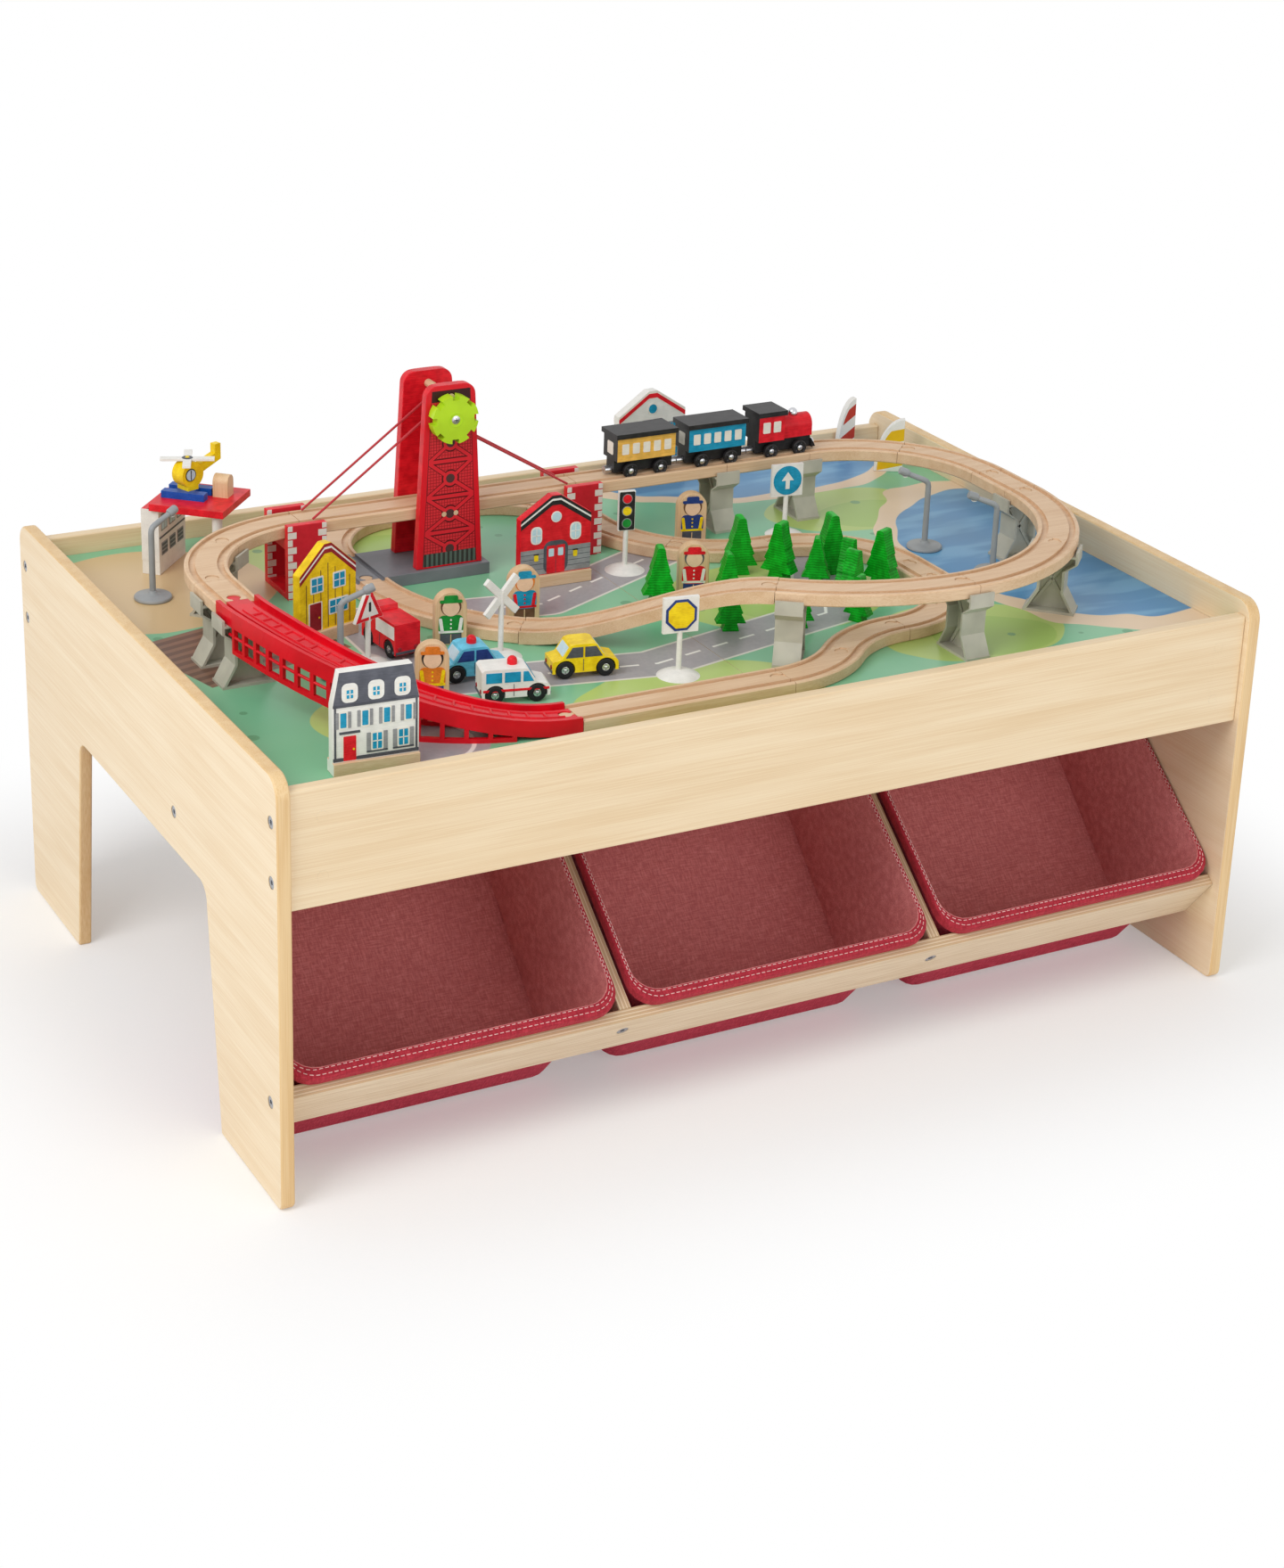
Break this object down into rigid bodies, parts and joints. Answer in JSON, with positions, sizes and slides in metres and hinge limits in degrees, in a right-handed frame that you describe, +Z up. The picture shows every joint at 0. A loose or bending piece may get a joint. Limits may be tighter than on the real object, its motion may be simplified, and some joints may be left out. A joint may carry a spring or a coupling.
{
  "type": "train table",
  "caption": "Wooden play table on solid end panels with a raised-edge board carrying a wooden railway, lift bridge and scenery, over tilted fabric storage bins.",
  "frame": {"origin": "on the floor under the middle of the table", "axes": "+X along the table's length to the right, +Y from the bins in front to the back, +Z up"},
  "size_m": [1, 0.675, 0.562],
  "materials": {
    "maple": "satin laminate",
    "ply": "clear-coated birch plywood",
    "board_print": "printed fibreboard, satin",
    "pine": "planed",
    "bin_cloth": "felted woven cloth",
    "zinc": "zinc plated",
    "beech": "sanded, unfinished",
    "red_plastic": "moulded",
    "pier_plastic": "moulded",
    "grey_base": "painted",
    "tower_paint": "printed and lacquered",
    "lime_plastic": "moulded",
    "red_cord": "braided",
    "red_paint": "gloss paint",
    "blue_paint": "gloss paint",
    "yellow_paint": "gloss paint",
    "black_plastic": "moulded",
    "car_paint": "gloss paint in several colours",
    "white_plastic": "moulded",
    "toy_print": "printed wood",
    "lamp_grey": "moulded",
    "tree_green": "painted"
  },
  "bodies": {
    "table": {"left_end_panel": "maple", "right_end_panel": "maple", "front_apron": "maple", "back_apron": "maple", "play_board_left": "board_print", "play_board_right": "board_print", "board_cleats": "pine", "bin_front_rail": "ply", "bin_back_rail": "ply", "bin_dividers": "ply", "frame_bolts": "zinc", "barrel_nuts": "zinc", "raised_straights": "beech", "raised_curves": "beech", "wood_ramp": "beech", "red_ramp_upper": "red_plastic", "red_ramp_lower": "red_plastic", "ground_straights": "beech", "ground_curves": "beech", "track_piers": "pier_plastic", "bridge_base": "grey_base", "bridge_tower_front": "tower_paint", "bridge_tower_back": "tower_paint", "bridge_dowels": "beech", "bridge_supports": "tower_paint", "bridge_cords_left": "red_cord", "bridge_cords_right": "red_cord", "road_cars": "car_paint", "helicopter_stand": "toy_print", "helicopter": "yellow_paint", "toy_buildings": "toy_print", "road_signs": "white_plastic", "street_lamps": "lamp_grey", "pine_trees": "tree_green", "toy_figures": "beech"},
    "bin_left_body": {"bin_left": "bin_cloth"},
    "bin_middle_body": {"bin_middle": "bin_cloth"},
    "bin_right_body": {"bin_right": "bin_cloth"},
    "leaf_left": {"bridge_leaf_left": "beech"},
    "leaf_right": {"bridge_leaf_right": "beech"},
    "winder": {"winder_spindle": "beech", "winder_knob": "lime_plastic"},
    "engine_body": {"engine": "red_paint"},
    "engine_front_wheels_body": {"engine_front_wheels": "black_plastic"},
    "engine_rear_wheels_body": {"engine_rear_wheels": "black_plastic"},
    "blue_coach_body": {"blue_coach": "blue_paint"},
    "blue_coach_front_wheels_body": {"blue_coach_front_wheels": "black_plastic"},
    "blue_coach_rear_wheels_body": {"blue_coach_rear_wheels": "black_plastic"},
    "yellow_coach_body": {"yellow_coach": "yellow_paint"},
    "yellow_coach_front_wheels_body": {"yellow_coach_front_wheels": "black_plastic"},
    "yellow_coach_rear_wheels_body": {"yellow_coach_rear_wheels": "black_plastic"},
    "blue_car_front_wheels_body": {"blue_car_front_wheels": "black_plastic"},
    "blue_car_rear_wheels_body": {"blue_car_rear_wheels": "black_plastic"},
    "white_van_front_wheels_body": {"white_van_front_wheels": "black_plastic"},
    "white_van_rear_wheels_body": {"white_van_rear_wheels": "black_plastic"},
    "yellow_cab_front_wheels_body": {"yellow_cab_front_wheels": "black_plastic"},
    "yellow_cab_rear_wheels_body": {"yellow_cab_rear_wheels": "black_plastic"},
    "truck_front_wheels_body": {"truck_front_wheels": "black_plastic"},
    "truck_rear_wheels_body": {"truck_rear_wheels": "black_plastic"},
    "rotor": {"helicopter_rotor": "white_plastic"}
  },
  "joints": [
    {"name": "bin_left_lift", "type": "slide", "parent": "table", "child": "bin_left_body", "axis": [0, -0.6157, 0.788], "range_m": [0, 0.06]},
    {"name": "bin_middle_lift", "type": "slide", "parent": "table", "child": "bin_middle_body", "axis": [0, -0.6157, 0.788], "range_m": [0, 0.06]},
    {"name": "bin_right_lift", "type": "slide", "parent": "table", "child": "bin_right_body", "axis": [0, -0.6157, 0.788], "range_m": [0, 0.06]},
    {"name": "leaf_left_lift", "type": "hinge", "parent": "table", "child": "leaf_left", "pos_m": [-0.1463, 0.142, 0.432], "axis": [0, 1, 0], "range_deg": [0, 50], "deforming": ["bridge_cords_left"]},
    {"name": "leaf_right_lift", "type": "hinge", "parent": "table", "child": "leaf_right", "pos_m": [-0.1337, 0.142, 0.432], "axis": [0, -1, 0], "range_deg": [0, 50], "deforming": ["bridge_cords_right"]},
    {"name": "winder_turn", "type": "hinge", "parent": "table", "child": "winder", "pos_m": [-0.14, 0.142, 0.52998], "axis": [0, 1, 0], "range_deg": [0, 735]},
    {"name": "engine_run", "type": "slide", "parent": "table", "child": "engine_body", "axis": [1, 0, 0], "range_m": [-0.03, 0]},
    {"name": "engine_front_wheels_turn", "type": "hinge", "parent": "engine_body", "child": "engine_front_wheels_body", "pos_m": [0.2655, 0.142, 0.4433], "axis": [0, 1, 0], "range_deg": [-220, 0]},
    {"name": "engine_rear_wheels_turn", "type": "hinge", "parent": "engine_body", "child": "engine_rear_wheels_body", "pos_m": [0.2315, 0.142, 0.4433], "axis": [0, 1, 0], "range_deg": [-220, 0]},
    {"name": "blue_coach_run", "type": "slide", "parent": "table", "child": "blue_coach_body", "axis": [1, 0, 0], "range_m": [-0.03, 0]},
    {"name": "blue_coach_front_wheels_turn", "type": "hinge", "parent": "blue_coach_body", "child": "blue_coach_front_wheels_body", "pos_m": [0.1835, 0.142, 0.4433], "axis": [0, 1, 0], "range_deg": [-220, 0]},
    {"name": "blue_coach_rear_wheels_turn", "type": "hinge", "parent": "blue_coach_body", "child": "blue_coach_rear_wheels_body", "pos_m": [0.1495, 0.142, 0.4433], "axis": [0, 1, 0], "range_deg": [-220, 0]},
    {"name": "yellow_coach_run", "type": "slide", "parent": "table", "child": "yellow_coach_body", "axis": [1, 0, 0], "range_m": [-0.03, 0]},
    {"name": "yellow_coach_front_wheels_turn", "type": "hinge", "parent": "yellow_coach_body", "child": "yellow_coach_front_wheels_body", "pos_m": [0.1015, 0.142, 0.4433], "axis": [0, 1, 0], "range_deg": [-220, 0]},
    {"name": "yellow_coach_rear_wheels_turn", "type": "hinge", "parent": "yellow_coach_body", "child": "yellow_coach_rear_wheels_body", "pos_m": [0.0675, 0.142, 0.4433], "axis": [0, 1, 0], "range_deg": [-220, 0]},
    {"name": "blue_car_front_wheels_turn", "type": "hinge", "parent": "table", "child": "blue_car_front_wheels_body", "pos_m": [-0.20935, -0.13006, 0.3748], "axis": [0.1045, 0.9945, 0], "continuous": true},
    {"name": "blue_car_rear_wheels_turn", "type": "hinge", "parent": "table", "child": "blue_car_rear_wheels_body", "pos_m": [-0.24714, -0.12609, 0.3748], "axis": [0.1045, 0.9945, 0], "continuous": true},
    {"name": "white_van_front_wheels_turn", "type": "hinge", "parent": "table", "child": "white_van_front_wheels_body", "pos_m": [-0.19807, -0.19169, 0.3748], "axis": [0.225, 0.9744, 0], "continuous": true},
    {"name": "white_van_rear_wheels_turn", "type": "hinge", "parent": "table", "child": "white_van_rear_wheels_body", "pos_m": [-0.23509, -0.18314, 0.3748], "axis": [0.225, 0.9744, 0], "continuous": true},
    {"name": "yellow_cab_front_wheels_turn", "type": "hinge", "parent": "table", "child": "yellow_cab_front_wheels_body", "pos_m": [-0.11546, -0.16342, 0.3748], "axis": [0.1908, 0.9816, 0], "continuous": true},
    {"name": "yellow_cab_rear_wheels_turn", "type": "hinge", "parent": "table", "child": "yellow_cab_rear_wheels_body", "pos_m": [-0.15276, -0.15618, 0.3748], "axis": [0.1908, 0.9816, 0], "continuous": true},
    {"name": "truck_front_wheels_turn", "type": "hinge", "parent": "table", "child": "truck_front_wheels_body", "pos_m": [-0.27021, -0.01929, 0.3748], "axis": [-0.9945, -0.1045, 0], "continuous": true},
    {"name": "truck_rear_wheels_turn", "type": "hinge", "parent": "table", "child": "truck_rear_wheels_body", "pos_m": [-0.26624, -0.05708, 0.3748], "axis": [-0.9945, -0.1045, 0], "continuous": true},
    {"name": "rotor_turn", "type": "hinge", "parent": "table", "child": "rotor", "pos_m": [-0.36036, 0.23749, 0.479], "axis": [0, 0, 1], "continuous": true}
  ],
  "couplings": [
    {"joint": "leaf_right_lift", "follows": "leaf_left_lift", "ratio": 1},
    {"joint": "winder_turn", "follows": "leaf_left_lift", "ratio": 14.6},
    {"joint": "engine_front_wheels_turn", "follows": "engine_run", "rad_per_m": 125},
    {"joint": "engine_rear_wheels_turn", "follows": "engine_run", "rad_per_m": 125},
    {"joint": "blue_coach_run", "follows": "engine_run", "ratio": 1},
    {"joint": "blue_coach_front_wheels_turn", "follows": "engine_run", "rad_per_m": 125},
    {"joint": "blue_coach_rear_wheels_turn", "follows": "engine_run", "rad_per_m": 125},
    {"joint": "yellow_coach_run", "follows": "engine_run", "ratio": 1},
    {"joint": "yellow_coach_front_wheels_turn", "follows": "engine_run", "rad_per_m": 125},
    {"joint": "yellow_coach_rear_wheels_turn", "follows": "engine_run", "rad_per_m": 125}
  ]
}
